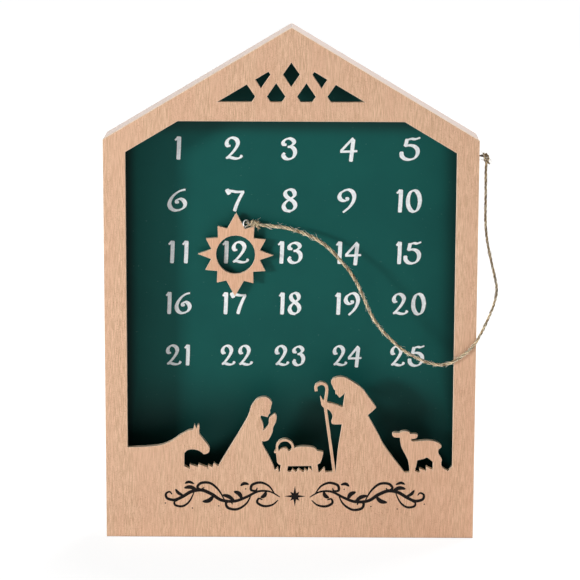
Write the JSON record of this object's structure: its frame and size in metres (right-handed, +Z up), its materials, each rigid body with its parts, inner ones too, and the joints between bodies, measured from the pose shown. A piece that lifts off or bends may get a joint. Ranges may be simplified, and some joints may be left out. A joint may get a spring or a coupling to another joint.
{
  "type": "countdown calendar",
  "caption": "House-shaped wooden shadow box with a cut-out nativity front, a numbered steel board behind it, and a star marker held by magnets on a length of jute twine.",
  "frame": {"origin": "middle of the case's underside, where it stands", "axes": "+Z up, -Y out of the front panel, +X to the right when facing the front"},
  "size_m": [0.2333, 0.0347, 0.306],
  "materials": {
    "panel_wood": "thin sheet wood with fine upright grain, clear matt",
    "frame_wood": "pale limed wood, matt",
    "green_enamel": "satin green enamel with white numerals",
    "hardboard": "plain brown hardboard",
    "bright_steel": "drawn steel brads",
    "dark_steel": "darkened steel wire",
    "nickel": "nickel plated",
    "jute": "raw twisted jute"
  },
  "bodies": {
    "case": {"front_panel": "panel_wood", "left_side": "frame_wood", "right_side": "frame_wood", "left_roof": "frame_wood", "right_roof": "frame_wood", "bottom_board": "frame_wood", "number_board": "green_enamel", "back_board": "hardboard", "back_brad_1": "bright_steel", "back_brad_2": "bright_steel", "back_brad_3": "bright_steel", "back_brad_4": "bright_steel", "back_brad_5": "bright_steel", "back_brad_6": "bright_steel", "back_brad_7": "bright_steel", "back_brad_8": "bright_steel", "back_brad_9": "bright_steel", "back_brad_10": "bright_steel", "screw_eye": "dark_steel", "eye_knot": "jute", "twine": "jute"},
    "marker": {"star_marker": "panel_wood", "marker_eye": "nickel", "marker_magnet_top": "nickel", "marker_magnet_bottom": "nickel", "star_knot": "jute"}
  },
  "joints": [
    {"name": "marker_slide", "type": "slide", "parent": "case", "child": "marker", "axis": [1, 0, 0], "range_m": [-0.0343, 0.1034], "deforming": ["twine"]}
  ]
}
